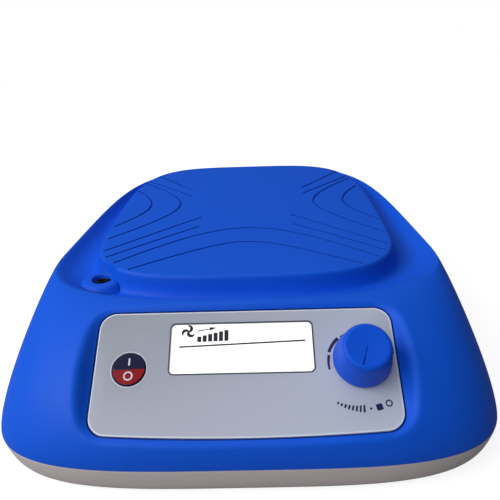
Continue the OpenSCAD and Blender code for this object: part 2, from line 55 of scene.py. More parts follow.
# ---------- dimensions shared with the CAD source ----------
# Plan outlines: centre y, half width, front reach, back reach, front power, back power, taper
BODY = (-85.0, 99.4, 64.4, 172.5, 4.0, 4.0, 0.086)
RIM = (-50.0, 87.7, 48.7, 131.0, 2.8, 4.3, 0.127)
PLAT = (-35.0, 70.2, 52.5, 108.9, 3.3, 4.1, 0.0)
SIDE_POWER, FRONT_POWER = 1.21, 1.85  # roundness of the wall's section at the sides and the front
SEAM_HI, SEAM_LO = 13.15, 12.85
RIM_Z, PLAT_Z = 53.5, 58.0
FOOT_H, FLOOR_TOP = 1.5, 4.0
WALL = 2.7
CEILING = PLAT_Z - WALL
TROUGH_IN = 46.2
PANEL_AT = np.array([0.0, -142.9, 24.48])
SLOPE = math.radians(34.2)
PANEL_W, PANEL_H, PANEL_T, PANEL_R, BOW = 114.4, 47.0, 1.2, 6.5, 2.0
PANEL_BACK = -3.8
WHOLE_PANEL = (0, 0)
WINDOW_C, WINDOW = (-1.3, 31.75), (55.8, 21.0)
BUTTON_C, BUTTON_R = (-43.9, 23.95), 6.4
KNOB_C, KNOB_R, KNOB_TOP_R, KNOB_H, KNOB_GAP = (44.0, 25.65), 11.0, 8.8, 14.0, 1.0
ROD_C, ROD_TOP, ROD_CLEAR_R, SOCKET_FOOT = (-63.9, -76.3), 52.4, 5.2, 20.0
SCREWS = [(-85, -104), (85, -104), (-61, 48), (61, 48)]
FEET = [(-70, -118), (70, -118), (-46, 60), (46, 60)]
HANGERS = [(-33, -33), (33, -33), (-33, 33), (33, 33)]
PCB_POSTS = [(-40, -96), (40, -96), (-40, -50), (40, -50)]
BOARD_POSTS = [(-50, 10.15), (50, 10.15), (-50, 39.65), (50, 39.65)]
JACK_X, JACK_Z, JACK_FACE = -24.0, 25.0, 83.5
BOSS_R, PILOT_R = 4.5, 1.55
SHAFT_HOLE_R, BUTTON_GAP = 3.7, 0.2
SOCKET_R, MOUTH_R = 7.05, 4.3
POST_R = 5.5
GROOVE_R, GROOVE_SINK, GROOVE_MARGIN = 0.6, 0.2, 1.6
POINTER_LEAN = math.radians(-18.8)
LEGEND_R = 18.2

# ---------- studio ----------
FLOOR_HALF, FLOOR_POINTS = 900, 48
FLOOR_LIFT, FLOOR_RISE = 0.85, (0.16, 0.45)  # glow near the object; distances in metres over which it rises
WORLD_TONE, WORLD_LIGHT = (0.94, 0.97, 1.0, 1), 0.12
# Area lights: name, place and target in metres from the stirring axis, size in metres, watts
LIGHTS = [
    ("key_left", (-0.75, -0.38, 0.78), (0, -0.05, 0.03), (0.7, 0.5), 6.4),
    ("top_soft", (-0.15, 0.2, 1.0), (0, -0.03, 0.04), (0.9, 0.8), 2.9),
    ("front_fill", (-0.5, -0.85, 0.5), (0, -0.1, 0.03), (0.7, 0.4), 2.5),
]
CAMERA_AT = (0.00696, -0.29033, 0.16488)
CAMERA_DOWN, CAMERA_YAW, CAMERA_ROLL = math.radians(25.107), math.radians(1.21), math.radians(2.011)
CAMERA_LENS, CAMERA_SENSOR = 39.28, 36.0


# ---------- outlines and sections ----------
def inset(o, d):
    """Plan outline o moved inwards by d."""
    return (o[0], o[1] - d, o[2] - d, o[3] - d, o[4], o[5], o[6])


def belly(o, d, s):
    """Inset outline that keeps more of its reach at the front, by a share s."""
    return (o[0], o[1] - d, o[2] - d + 0.6 * s, o[3] - d, o[4] - 0.2 * s, o[5], o[6])


def plan(o, a):
    """Points of a plan outline at angles a."""
    c, s = np.cos(a), np.sin(a)
    power = np.where(s < 0, o[4], o[5])
    deep = np.where(s < 0, o[2], o[3])
    r = ((np.abs(c) / o[1]) ** power + (np.abs(s) / deep) ** power) ** (-1 / power)
    y = r * s
    return np.stack([r * c * (1 - o[6] * y / o[3]), y + o[0]], -1)


def even_turns(n, front_weight=1.7):
    """Angles whose points are evenly spaced round the body, and closer together along the front."""
    a = np.linspace(-math.pi / 2, 1.5 * math.pi, 7201)
    length = 0
    for o in (BODY, RIM, PLAT):
        step = np.linalg.norm(np.diff(plan(o, a), axis=0), axis=1)
        length = length + step
    middle = (a[1:] + a[:-1]) / 2
    length = length * (1 + (front_weight - 1) * np.clip(-np.sin(middle) * 2 - 0.4, 0, 1))
    total = np.concatenate([[0], np.cumsum(length)])
    return np.interp(np.arange(n) / n * total[-1], total, a)


def ring(o, z, a):
    return np.column_stack([plan(o, a), np.full(len(a), z)])


def mix_ring(o, q, s, z, a):
    return np.column_stack([plan(o, a) * (1 - s) + plan(q, a) * s, np.full(len(a), z)])


def wall_ring(lo, hi, z0, z1, t, a):
    """Ring of the outer wall, a share t of the way round its section from outline lo up to hi."""
    forward = np.clip(-np.sin(a), 0, 1) ** 2
    power = SIDE_POWER + (FRONT_POWER - SIDE_POWER) * (1 - (1 - forward) ** 2)
    c, s = max(math.cos(t * math.pi / 2), 0.0), math.sin(t * math.pi / 2)
    h, v = 1 - c ** (2 / power), s ** (2 / power)
    p, q = plan(lo, a), plan(hi, a)
    return np.column_stack([p + (q - p) * h[:, None], z0 + (z1 - z0) * v])


def smooth_through(points, n):
    """Catmull-Rom curve through 2-D points, n steps per span."""
    p = np.array(points, float)
    p = np.vstack([2 * p[0] - p[1], p, 2 * p[-1] - p[-2]])
    out = []
    for i in range(1, len(p) - 2):
        for k in range(n):
            t = k / n
            out.append(0.5 * (2 * p[i] + (p[i + 1] - p[i - 1]) * t
                              + (2 * p[i - 1] - 5 * p[i] + 4 * p[i + 1] - p[i + 2]) * t ** 2
                              + (3 * p[i] - p[i - 1] - 3 * p[i + 1] + p[i + 2]) * t ** 3))
    out.append(p[-2])
    return np.array(out)


def corner_arcs(corners, r, n):
    """Quarter turns of radius r, each about a centre and from a starting angle in degrees."""
    line = []
    for cx, cy, start in corners:
        for i in range(n + 1):
            a = math.radians(start + 90 * i / n)
            line.append((cx + r * math.cos(a), cy + r * math.sin(a)))
    return line


def rounded_rect(x, y, r, n=8):
    """Rectangle of half sides x and y with corners of radius r."""
    cx, cy = x - r, y - r
    return np.array(corner_arcs([(cx, -cy, -90), (cx, cy, 0), (-cx, cy, 90), (-cx, -cy, 180)], r, n))


def turned(shape, angle, at):
    """Plane shape turned by an angle and carried to a point."""
    c, s = math.cos(angle), math.sin(angle)
    return [(at[0] + x * c - y * s, at[1] + x * s + y * c) for x, y in shape]


def to_panel(p):
    """Stirring-axis frame to panel frame: across, up the slope, out of the panel."""
    d = p - PANEL_AT
    c, s = math.cos(SLOPE), math.sin(SLOPE)
    return np.stack([d[..., 0], d[..., 1] * c + d[..., 2] * s, -d[..., 1] * s + d[..., 2] * c], -1)


def from_panel(p):
    """Panel frame to stirring-axis frame."""
    p = np.asarray(p, float)
    c, s = math.cos(SLOPE), math.sin(SLOPE)
    y = p[..., 1] * c - p[..., 2] * s
    z = p[..., 1] * s + p[..., 2] * c
    return np.stack([p[..., 0], y, z], -1) + PANEL_AT


# ---------- meshes ----------
def make(name, points, faces, smooth=True):
    """Mesh object in metres, in the row's frame."""
    mesh = bpy.data.meshes.new(name)
    mesh.from_pydata(((np.asarray(points) + HOME) * MM).tolist(), [], [list(f) for f in faces])
    mesh.validate()
    obj = bpy.data.objects.new(name, mesh)
    bpy.context.scene.collection.objects.link(obj)
    if smooth:
        mesh.polygons.foreach_set("use_smooth", [True] * len(mesh.polygons))
    return obj


def loft_faces(m, n, first=0):
    """Faces of a closed skin over m rings of n points, the first point being number first."""
    faces = [[first + i for i in range(n)][::-1], [first + (m - 1) * n + i for i in range(n)]]
    for j in range(m - 1):
        for i in range(n):
            a, b = first + j * n + i, first + j * n + (i + 1) % n
            faces.append([a, b, b + n, a + n])
    return faces


def loft(name, rings):
    """Closed skin through rings listed from the bottom up, each anticlockwise seen from above."""
    rings = [np.asarray(r, float) for r in rings]
    return make(name, np.vstack(rings), loft_faces(len(rings), len(rings[0])))


def circle(r, n, z, at=(0, 0)):
    a = np.arange(n) * 2 * math.pi / n
    return np.column_stack([at[0] + r * np.cos(a), at[1] + r * np.sin(a), np.full(n, z)])


def post(r, z0, z1, at, n=40, panel=False):
    """Plain cylinder, upright or square to the panel."""
    rings = [circle(r, n, z, at) for z in (z0, z1)]
    return loft("post", [from_panel(q) for q in rings] if panel else rings)


def prism_in_panel(line, z0, z1, at=(0, 0)):
    """Plane shape carried square through the panel."""
    flat = np.asarray(line, float) + at
    return loft("prism", [from_panel(np.column_stack([flat, np.full(len(flat), z)])) for z in (z0, z1)])


def lathe(name, profile, at=(0, 0), n=128, panel=False):
    """Solid of revolution from (radius, z) pairs listed from the bottom up, outside only."""
    rings = [circle(max(r, 0.02), n, z, at) for r, z in profile]
    if panel:
        rings = [from_panel(r) for r in rings]
    return loft(name, rings)


def block(name, lo, hi, panel=False):
    """Box between two corners, square to the axis or to the panel."""
    (x0, y0, z0), (x1, y1, z1) = lo, hi
    low = np.array([[x0, y0, z0], [x1, y0, z0], [x1, y1, z0], [x0, y1, z0]], float)
    high = low + [0, 0, z1 - z0]
    rings = [from_panel(r) for r in (low, high)] if panel else [low, high]
    return loft(name, rings)


def prisms(name, outlines, z0, z1, at=(0, 0)):
    """Thin raised shapes on the panel: one closed prism per anticlockwise outline."""
    points, faces = [], []
    for line in outlines:
        flat = np.asarray(line, float) + np.asarray(at, float)
        area = np.sum(flat[:, 0] * np.roll(flat[:, 1], -1) - np.roll(flat[:, 0], -1) * flat[:, 1])
        flat = flat if area > 0 else flat[::-1]
        n = len(flat)
        faces += loft_faces(2, n, len(points))
        for z in (z0, z1):
            points += [[x, y, z] for x, y in flat]
    return make(name, from_panel(points), faces, smooth=False)


def tube_path(name, path, r, n=12):
    """Round bar along a path of 3-D points."""
    path = np.asarray(path, float)
    d = np.gradient(path, axis=0)
    d /= np.linalg.norm(d, axis=1)[:, None]
    up = np.array([0, 0, 1.0])
    rings = []
    for p, t in zip(path, d):
        u = np.cross(up, t)
        u /= np.linalg.norm(u)
        v = np.cross(t, u)
        a = np.arange(n) * 2 * math.pi / n
        rings.append(p + r * (np.cos(a)[:, None] * u + np.sin(a)[:, None] * v))
    return loft(name, rings)


def bake(obj):
    """Applies an object's modifiers to its mesh."""
    graph = bpy.context.evaluated_depsgraph_get()
    graph.update()
    mesh = bpy.data.meshes.new_from_object(obj.evaluated_get(graph))
    old = obj.data
    obj.modifiers.clear()
    obj.data = mesh
    bpy.data.meshes.remove(old)


def combine(obj, other, operation):
    mod = obj.modifiers.new("combine", "BOOLEAN")
    mod.object = other
    mod.operation = operation
    mod.solver = "MANIFOLD"
    bake(obj)
    bpy.data.objects.remove(other)
    return obj


def cut(obj, *others):
    for other in others:
        combine(obj, other, "DIFFERENCE")
    return obj


def add(obj, *others):
    for other in others:
        combine(obj, other, "UNION")
    return obj


def bevel(obj, width, segments=3, angle=35):
    mod = obj.modifiers.new("bevel", "BEVEL")
    mod.width = width * MM
    mod.segments = segments
    mod.limit_method = "ANGLE"
    mod.angle_limit = math.radians(angle)
    mod.use_clamp_overlap = True
    bake(obj)
    return obj


def shade(obj, angle=32):
    mesh = obj.data
    mesh.polygons.foreach_set("use_smooth", [True] * len(mesh.polygons))
    mesh.set_sharp_from_angle(angle=math.radians(angle))
    return obj


# ---------- materials ----------
def linear(r, g, b):
    """Screen colour, 0 to 255, as linear RGBA."""
    def one(v):
        v /= 255
        return v / 12.92 if v <= 0.04045 else ((v + 0.055) / 1.055) ** 2.4
    return (one(r), one(g), one(b), 1.0)


def ranged(nodes, links, value, start, end, low, high):
    """Maps a value from start..end to low..high."""
    node = nodes.new("ShaderNodeMapRange")
    for key, number in (("From Min", start), ("From Max", end), ("To Min", low), ("To Max", high)):
        node.inputs[key].default_value = number
    links.new(value, node.inputs["Value"])
    return node.outputs["Result"]


def scaled(nodes, links, tone, gain):
    """Multiplies a colour by a value."""
    node = nodes.new("ShaderNodeVectorMath")
    node.operation = "SCALE"
    links.new(tone, node.inputs[0])
    links.new(gain, node.inputs["Scale"])
    return node.outputs["Vector"]


def product(nodes, links, one, other):
    node = nodes.new("ShaderNodeMath")
    node.operation = "MULTIPLY"
    links.new(one, node.inputs[0])
    links.new(other, node.inputs[1])
    return node.outputs["Value"]


def finish_of(name, colour, rough, metal=0.0, coat=0.0, grain=1400.0, bump=0.00002, vary=0.05,
              tint=0.04, stretch=None, specular=0.5, sheen_sweep=None, crease_shade=None):
    """Procedural finish: fine grain in the bump, broad patches in roughness and colour, and at will a painted
    sheen and painted shade in grooves.
    """
    m = bpy.data.materials.new(name)
    m.use_nodes = True
    nodes, links = m.node_tree.nodes, m.node_tree.links
    shader = nodes["Principled BSDF"]
    where = nodes.new("ShaderNodeTexCoord").outputs["Object"]
    if stretch:
        scale = nodes.new("ShaderNodeMapping")
        scale.inputs["Scale"].default_value = stretch
        links.new(where, scale.inputs["Vector"])
        where = scale.outputs["Vector"]
    fine = nodes.new("ShaderNodeTexNoise")
    fine.inputs["Scale"].default_value = grain
    fine.inputs["Detail"].default_value = 3.0
    broad = nodes.new("ShaderNodeTexNoise")
    broad.inputs["Scale"].default_value = 22.0
    broad.inputs["Detail"].default_value = 4.0
    for tex in (fine, broad):
        links.new(where, tex.inputs["Vector"])
    low, high = max(rough - vary, 0.02), min(rough + vary, 1.0)
    links.new(ranged(nodes, links, broad.outputs["Fac"], 0.3, 0.7, low, high), shader.inputs["Roughness"])
    blend = nodes.new("ShaderNodeMix")
    blend.data_type = "RGBA"
    blend.inputs["A"].default_value = tuple(v * (1 - tint) for v in colour[:3]) + (1.0,)
    blend.inputs["B"].default_value = tuple(min(v * (1 + tint), 1.0) for v in colour[:3]) + (1.0,)
    links.new(broad.outputs["Fac"], blend.inputs["Factor"])
    tone = blend.outputs["Result"]
    # painted sheen: the colour brightens one way across the piece in place of reflected light
    if sheen_sweep:
        tone = painted_sheen(nodes, links, tone, *sheen_sweep)
    # painted shade: the colour darkens where little light can reach
    if crease_shade:
        tone = painted_crease_shade(nodes, links, tone, *crease_shade)
    links.new(tone, shader.inputs["Base Color"])
    relief = nodes.new("ShaderNodeBump")
    relief.inputs["Strength"].default_value = 0.6
    relief.inputs["Distance"].default_value = bump
    links.new(fine.outputs["Fac"], relief.inputs["Height"])
    links.new(relief.outputs["Normal"], shader.inputs["Normal"])
    shader.inputs["Metallic"].default_value = metal
    shader.inputs["Coat Weight"].default_value = coat
    shader.inputs["Coat Roughness"].default_value = 0.12
    shader.inputs["Specular IOR Level"].default_value = specular
    return m


def painted_sheen(nodes, links, tone, direction, depth):
    """Painted sheen: multiplies a colour by a slow gradient across the piece, darker one way and lighter the
    other, in place of reflected light.
    """
    place_of = nodes.new("ShaderNodeTexCoord").outputs["Generated"]
    along = nodes.new("ShaderNodeVectorMath")
    along.operation = "DOT_PRODUCT"
    along.inputs[1].default_value = Vector(direction) / 2
    links.new(place_of, along.inputs[0])
    start, end = sum(min(c, 0) for c in direction) / 2, sum(max(c, 0) for c in direction) / 2
    gain = ranged(nodes, links, along.outputs["Value"], start, end, 1 - depth, 1 + depth)
    return scaled(nodes, links, tone, gain)


def painted_crease_shade(nodes, links, tone, reach, share):
    """Painted shade: darkens a colour inside narrow grooves and corners, by how little open space each point
    sees.
    """
    hidden = nodes.new("ShaderNodeAmbientOcclusion")
    hidden.samples = 8
    hidden.only_local = True
    hidden.inputs["Distance"].default_value = reach
    return scaled(nodes, links, tone, ranged(nodes, links, hidden.outputs["AO"], 0.35, 0.95, 1 - share, 1))


def clear_sheet(name):
    """Thin clear plastic: lets light straight through and adds a soft reflection."""
    m = bpy.data.materials.new(name)
    m.use_nodes = True
    nodes, links = m.node_tree.nodes, m.node_tree.links
    nodes.remove(nodes["Principled BSDF"])
    through = nodes.new("ShaderNodeBsdfTransparent")
    gloss = nodes.new("ShaderNodeBsdfGlossy")
    gloss.inputs["Roughness"].default_value = 0.08
    fresnel = nodes.new("ShaderNodeFresnel")
    fresnel.inputs["IOR"].default_value = 1.33
    noise = nodes.new("ShaderNodeTexNoise")
    noise.inputs["Scale"].default_value = 60.0
    relief = nodes.new("ShaderNodeBump")
    relief.inputs["Distance"].default_value = 0.00001
    links.new(noise.outputs["Fac"], relief.inputs["Height"])
    links.new(relief.outputs["Normal"], gloss.inputs["Normal"])
    side = nodes.new("ShaderNodeNewGeometry")
    front_only = ranged(nodes, links, side.outputs["Backfacing"], 0, 1, 1, 0)
    mix = nodes.new("ShaderNodeMixShader")
    links.new(product(nodes, links, fresnel.outputs["Fac"], front_only), mix.inputs["Fac"])
    links.new(through.outputs["BSDF"], mix.inputs[1])
    links.new(gloss.outputs["BSDF"], mix.inputs[2])
    links.new(mix.outputs["Shader"], nodes["Material Output"].inputs["Surface"])
    return m


def glow(m, strength):
    """Painted light: makes a finish give off white light of its own."""
    shader = m.node_tree.nodes["Principled BSDF"]
    shader.inputs["Emission Color"].default_value = (1, 1, 1, 1)
    shader.inputs["Emission Strength"].default_value = strength
    return m


BRUSHED = (1.0, 14.0, 1.0)
PANEL_PAINTED_SHEEN = ((2.3, -1.4, 0), 0.4)  # painted sheen: direction in which the panel grows paler, and by what share
GROOVE_SHADE = (0.0012, 0.66)  # painted shade in grooves and corners: reach in metres, and the share of the colour lost
# the knob's painted shade in its slot and corners
KNOB_SHADE = (0.0012, 0.25)
MAT = {
    # blue_abs and knob_blue carry painted shade in their grooves and corners
    "blue_abs": finish_of("blue_abs", linear(6, 89, 224), 0.54, grain=1900, bump=0.00002, tint=0.03,
                          specular=0.2, crease_shade=GROOVE_SHADE),
    "knob_blue": finish_of("knob_blue", linear(4, 84, 222), 0.44, grain=2400, bump=0.000012, tint=0.03,
                           specular=0.2, crease_shade=KNOB_SHADE),
    "grey_abs": finish_of("grey_abs", linear(208, 198, 196), 0.5, grain=1700, bump=0.00003, tint=0.03),
    "rubber_black": finish_of("rubber_black", linear(28, 28, 29), 0.8, grain=900, bump=0.00004),
    "zinc_screw": finish_of("zinc_screw", linear(190, 192, 196), 0.3, metal=1.0, grain=2600),
    "label_foil": finish_of("label_foil", linear(186, 188, 192), 0.38, metal=0.7, grain=500, stretch=BRUSHED),
    # the panel's colour carries a painted sheen, paler one way across it
    "panel_grey": finish_of("panel_grey", linear(178, 184, 201), 0.46, sheen_sweep=PANEL_PAINTED_SHEEN, grain=2600,
                            bump=0.000012, tint=0.03),
    "clear_lens": clear_sheet("clear_lens"),
    "lcd_white": finish_of("lcd_white", linear(226, 229, 226), 0.3, grain=2000, bump=0.000004),
    "pcb_green": finish_of("pcb_green", linear(26, 102, 62), 0.34, coat=0.3, grain=300, tint=0.12),
    "button_film": finish_of("button_film", linear(7, 7, 56), 0.3, coat=0.2, specular=0.3, grain=1200,
                             bump=0.000006),
    "switch_black": finish_of("switch_black", linear(30, 30, 32), 0.5, grain=1500),
    "switch_ivory": finish_of("switch_ivory", linear(218, 214, 200), 0.45, grain=1500),
    "steel": finish_of("steel", linear(186, 189, 194), 0.28, metal=1.0, grain=800, stretch=BRUSHED),
    "stainless": finish_of("stainless", linear(198, 200, 204), 0.24, metal=1.0, grain=1400, stretch=BRUSHED),
    "nickel": finish_of("nickel", linear(214, 215, 219), 0.14, metal=1.0, grain=700, bump=0.000006),
    "ferrite": finish_of("ferrite", linear(62, 62, 66), 0.55, grain=1100),
    "copper_winding": finish_of("copper_winding", linear(176, 98, 48), 0.36, metal=0.8, grain=420,
                                bump=0.00018, stretch=(1.0, 1.0, 7.0)),
    "galvanised": finish_of("galvanised", linear(178, 182, 188), 0.42, metal=1.0, grain=160, tint=0.16,
                            vary=0.12),
    "carrier_black": finish_of("carrier_black", linear(36, 36, 40), 0.48, grain=1300),
    "cap_blue": finish_of("cap_blue", linear(34, 44, 78), 0.3, coat=0.2, grain=900),
    "chip_black": finish_of("chip_black", linear(24, 24, 26), 0.6, grain=2100),
    "connector_ivory": finish_of("connector_ivory", linear(226, 222, 206), 0.46, grain=1500),
    "wire_red": finish_of("wire_red", linear(176, 30, 28), 0.4, grain=900),
    "wire_black": finish_of("wire_black", linear(30, 30, 32), 0.4, grain=900),
    "ribbon_grey": finish_of("ribbon_grey", linear(160, 160, 165), 0.45, grain=260, stretch=(6.0, 1.0, 1.0)),
    "print_dark": finish_of("print_dark", linear(14, 14, 30), 0.5, grain=2500, bump=0.000004),
    "print_navy": finish_of("print_navy", linear(22, 22, 82), 0.5, grain=2500, bump=0.000004),
    "print_white": finish_of("print_white", linear(226, 224, 240), 0.4, grain=2500, bump=0.000004),
    "button_red": finish_of("button_red", linear(146, 10, 18), 0.3, coat=0.2, specular=0.3, grain=1200,
                            bump=0.000006),
    # painted highlight: pale colour for the light caught by the panel's rounded edge and the button's rim
    "ring_pale": finish_of("ring_pale", linear(222, 229, 240), 0.35, grain=1500, bump=0.000008),
    "gasket_dark": finish_of("gasket_dark", linear(62, 66, 78), 0.5, grain=1800, bump=0.000008),
    # painted light: the display face is given a glow of its own to read bright white
    "display_white": glow(finish_of("display_white", linear(250, 251, 252), 0.35, grain=2000,
                                    bump=0.000003), 0.45),
}


def place(obj, body, material, replaces=()):
    """Gives a piece its finish and the body it rides on."""
    obj.data.materials.clear()
    obj.data.materials.append(MAT[material])
    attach(obj, body)
    if replaces:
        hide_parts(*replaces)
    return obj


# ---------- upper housing ----------
def panel_distance(u, w):
    """Distance outside the panel's outline, negative inside."""
    low = np.clip(w, 0, PANEL_H)
    half = PANEL_W / 2
    drop = BOW * np.clip(1 - (u / half) ** 2, 0, 1) * np.clip(1 - low / PANEL_H * 2, 0, 1)
    x = np.abs(u) - (half - PANEL_R)
    y = np.abs(w + drop - PANEL_H / 2) - (PANEL_H / 2 - PANEL_R)
    outside = np.hypot(np.maximum(x, 0), np.maximum(y, 0))
    return outside + np.minimum(np.maximum(x, y), 0) - PANEL_R


def soft_min(a, b, k):
    h = np.clip(0.5 + 0.5 * (b - a) / k, 0, 1)
    return b + (a - b) * h - k * h * (1 - h)


def recess(points):
    """Sinks the skin behind the panel, with sloping walls that blend into the body."""
    q = to_panel(points)
    d = panel_distance(q[:, 0], q[:, 1]) - 0.5
    wall = -0.55 + 0.55 * (d + np.sqrt(d ** 2 + 0.5))
    q[:, 2] = soft_min(q[:, 2], wall, 2.4)
    return from_panel(q)


def spot_face(points):
    """Clears the platform's foot and the rim off the flat face of the rod collar."""
    dx, dy = points[:, 0] - ROD_C[0], points[:, 1] - ROD_C[1]
    behind = np.clip((dx + dy) / 8 + 0.5, 0, 1)
    r = np.hypot(dx + dy, (dx - dy) / (1 + 0.9 * behind)) / math.sqrt(2)
    cap = ROD_TOP + 0.05 + (0.4 + 4.2 * behind) * np.maximum(r - 7.2 + 2.7 * behind, 0) ** 1.2
    near = np.hypot(dx, dy) < 14
    points[near, 2] = soft_min(points[near, 2], cap[near], 0.6)
    return points


def panel_outline(grow, z, n=10):
    """The panel's outline grown outwards: round corners and a lower edge that bows down."""
    hw, r, y0, y1 = PANEL_W / 2 + grow, PANEL_R + 0.8 * grow, -grow, PANEL_H + grow
    corners = [(hw - r, y0 + r, -90), (hw - r, y1 - r, 0), (-hw + r, y1 - r, 90), (-hw + r, y0 + r, 180)]
    line = corner_arcs(corners, r, n)
    line += [(-(hw - r) + 2 * (hw - r) * i / 24, y0) for i in range(1, 24)]
    out = []
    for x, y in line:
        share = 0 if y > PANEL_H / 2 else (1 - (x / hw) ** 2) * (1 - max(y, 0) / PANEL_H * 2)
        out.append((x, y - BOW * share, z))
    return np.array(out)


def outer_solid():
    a = even_turns(560)
    t_fine = np.linspace(0, 1, 400)
    probe = np.array([wall_ring(BODY, RIM, SEAM_HI, RIM_Z, t, np.array([-math.pi / 2]))[0] for t in t_fine])
    length = np.concatenate([[0], np.cumsum(np.linalg.norm(np.diff(probe, axis=0), axis=1))])
    steps = np.interp(np.linspace(0, length[-1], 76), length, t_fine)
    rings = [wall_ring(BODY, RIM, SEAM_HI, RIM_Z, t, a) for t in steps]
    trough = smooth_through([(0, 53.5), (0.05, 53.34), (0.12, 52.65), (0.23, 51.3), (0.38, 49.85),
                             (0.54, 48.95), (0.70, 48.65), (0.81, 49.1), (0.88, 50.4), (0.935, 52.6),
                             (0.972, 55.0), (1.0, 56.7)], 4)
    rings += [mix_ring(RIM, PLAT, s, z, a) for s, z in trough[1:]]
    edge = smooth_through([(0, 56.7), (0.35, 57.45), (0.9, 57.88), (1.7, 58.0)], 3)
    rings += [ring(inset(PLAT, d), z, a) for d, z in edge[1:]]
    rings.append(ring(inset(PLAT, 2.4), PLAT_Z, a))
    return loft("upper_housing_shell", [recess(spot_face(r)) for r in rings])


def cavity_solid():
    a = even_turns(200, 1.0)
    lo, hi = inset(BODY, WALL), inset(RIM, WALL + 0.3)
    rings = [ring(lo, SEAM_HI - 2, a)]
    rings += [wall_ring(lo, hi, SEAM_HI, TROUGH_IN, t, a) for t in np.linspace(0, 1, 13)]
    rings += [ring(inset(PLAT, 3), TROUGH_IN + 0.05, a), ring(inset(PLAT, 3.2), CEILING, a)]
    obj = loft("cavity", rings)
    cut(obj, block("cutter", (-66, -22, PANEL_BACK), (66, 60, 40), panel=True))
    for at in SCREWS:
        cut(obj, post(BOSS_R, SEAM_HI - 3, 60, at))
    for at in HANGERS:
        cut(obj, post(BOSS_R, 37.5, 60, at))
    cut(obj, post(10, 22, 60, ROD_C, 64))
    for at in BOARD_POSTS:
        cut(obj, post(3.2, -11, 0, at, 32, panel=True))
    cut(obj, block("cutter", (JACK_X - 13, JACK_FACE - 2.5, 10), (JACK_X + 13, 95, 38)))
    return obj


def hyper(x, s, b):
    """Hyperbola through the origin, of slope s far out and radius b over s squared at its nose."""
    return np.sqrt((s * x) ** 2 + b * b) - b


def groove_paths():
    """Field-line pattern cut in the platform, all as curves about the stirring axis."""
    paths = []
    for y0, s, b, x1 in ((-52.6, 0.75, 14.4, 51), (-35.6, 1.2, 50, 59)):
        x = np.linspace(-x1, x1, 121)
        paths.append(np.column_stack([x, y0 - hyper(x, s, b)]))
    for y0, s, b, x0, x1 in ((-19.5, 0.9, 12.3, 24, 64), (-3.0, 0.96, 8, 24, 67)):
        x = np.linspace(x0, x1, 50)
        paths += [np.column_stack([m * x, y0 - hyper(x, s, b)]) for m in (-1, 1)]
    for y0, s, b, x0, x1 in ((-5.9, 1.25, 12, 33, 66), (-9.5, 1.05, 12, 33, 68)):
        x = np.linspace(x0, x1, 50)
        paths += [np.column_stack([m * x, y0 + hyper(x, s, b)]) for m in (-1, 1)]
    for x0, s, b, y1 in ((37.6, 1.1, 25.6, 49), (54.2, 1.1, 29, 34)):
        y = np.linspace(-y1, y1, 101)
        paths += [np.column_stack([m * (x0 + hyper(y, s, b)), y]) for m in (-1, 1)]
    return paths


def inside_platform(p, margin):
    """True for each plan point that is further than margin inside the platform's outline."""
    o = inset(PLAT, margin)
    a = np.arctan2(p[:, 1] - o[0], p[:, 0])
    edge = plan(o, a) - [0, o[0]]
    return np.hypot(p[:, 0], p[:, 1] - o[0]) < np.hypot(edge[:, 0], edge[:, 1])


def build_housing():
    shell = outer_solid()
    flare = [(13.6, 46.9), (12.5, 47.5), (11.4, 48.3), (10.5, 49.2), (9.8, 50.1), (9.3, 50.9), (8.8, 51.55),
             (8.2, 52.05), (7.6, 52.32), (6.9, 52.42)]
    add(shell, lathe("collar", flare, ROD_C, 128))
    for at in SCREWS:
        add(shell, post(BOSS_R, FLOOR_TOP + 3, SEAM_HI + 1, at))
    cut(shell, cavity_solid())
    seat, sill = panel_outline(0.6, 0)[:, :2], panel_outline(-1.0, 0)[:, :2]
    cut(shell, frame_ring("cutter", seat, sill, -PANEL_T - 0.35, 3, WHOLE_PANEL))
    window = rounded_rect(WINDOW[0] / 2 - 1.3, WINDOW[1] / 2 - 1.3, 1.2)
    cut(shell, prism_in_panel(window, PANEL_BACK - 1, 3, WINDOW_C))
    for at, r in ((BUTTON_C, BUTTON_R + BUTTON_GAP), (KNOB_C, SHAFT_HOLE_R)):
        cut(shell, post(r, PANEL_BACK - 1, 3, at, 64, panel=True))
    for at in BOARD_POSTS:
        cut(shell, post(1.05, -12, PANEL_BACK + 1, at, 24, panel=True))
    for at in SCREWS:
        cut(shell, post(PILOT_R, FLOOR_TOP + 2, FLOOR_TOP + 16, at, 24))
    for at in HANGERS:
        cut(shell, post(PILOT_R, 34, 50, at, 24))
    mouth = [(SOCKET_R, SOCKET_FOOT), (SOCKET_R, 50.4), (MOUTH_R, 50.401), (MOUTH_R, 51.9), (4.42, 52.15),
             (4.75, 52.42), (4.95, 52.7), (ROD_CLEAR_R, 60)]
    cut(shell, lathe("cutter", mouth, ROD_C, 72))
    cut(shell, block("cutter", (JACK_X - 10, JACK_FACE, 16), (JACK_X + 10, 96, 34.5)))
    bore = [circle(4.05, 48, z, (JACK_X, -JACK_Z)) for z in (60, 90)]
    cut(shell, loft("cutter", [np.column_stack([r[:, 0], r[:, 2], -r[:, 1]]) for r in bore]))
    for path in groove_paths():
        path = path[inside_platform(path, GROOVE_MARGIN)]
        centre = np.column_stack([path, np.full(len(path), PLAT_Z - GROOVE_SINK)])
        cut(shell, tube_path("cutter", centre, GROOVE_R))
    return place(shade(shell, 34), "case", "blue_abs", replaces=("upper_housing",))


